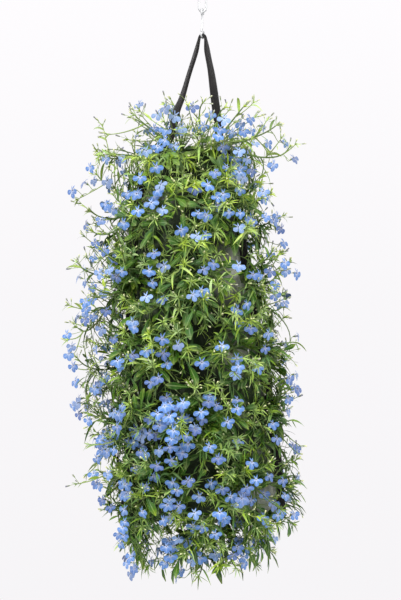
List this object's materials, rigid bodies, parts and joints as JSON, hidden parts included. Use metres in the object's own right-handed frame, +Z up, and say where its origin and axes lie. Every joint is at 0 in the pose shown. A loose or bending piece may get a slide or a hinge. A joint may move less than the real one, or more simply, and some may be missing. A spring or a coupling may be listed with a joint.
{
  "type": "hanging lobelia planter",
  "caption": "Trailing blue lobelia planted through the slits and mouth of a narrow film flower pouch, hung by a folded webbing strap from a wire hook and link.",
  "frame": {"origin": "inner top of the hanging link, where whatever carries the planter takes hold", "axes": "+Z up along the hang, -Y towards the flowering front, +X to the viewer's right"},
  "size_m": [0.279, 0.241, 0.7251],
  "materials": {
    "wire_steel": "bright drawn wire, slightly dulled",
    "webbing": "black woven webbing folded lengthwise, matte with a faint brown sheen",
    "pouch_film": "translucent crinkled grey-green film, soft gloss",
    "compost": "dark moist crumbly compost",
    "foliage": "fresh leaves and thin stems, satin, mid to yellow green",
    "petals": "soft sky-blue petals with a whitish throat, velvety"
  },
  "bodies": {
    "root": {"hanging_link": "wire_steel", "s_hook": "wire_steel", "strap": "webbing", "pouch": "pouch_film", "compost": "compost", "plant_01": "foliage", "plant_02": "foliage", "plant_03": "foliage", "plant_04": "foliage", "plant_05": "foliage", "plant_06": "foliage", "plant_07": "foliage", "plant_08": "foliage", "plant_09": "foliage", "plant_10": "foliage", "plant_11": "foliage", "plant_12": "foliage", "plant_13": "foliage", "plant_14": "foliage", "plant_15": "foliage", "plant_16": "foliage", "plant_17": "foliage", "plant_18": "foliage", "plant_19": "foliage", "plant_20": "foliage", "plant_21": "foliage", "plant_22": "foliage", "plant_23": "foliage", "plant_24": "foliage"}
  },
  "joints": []
}
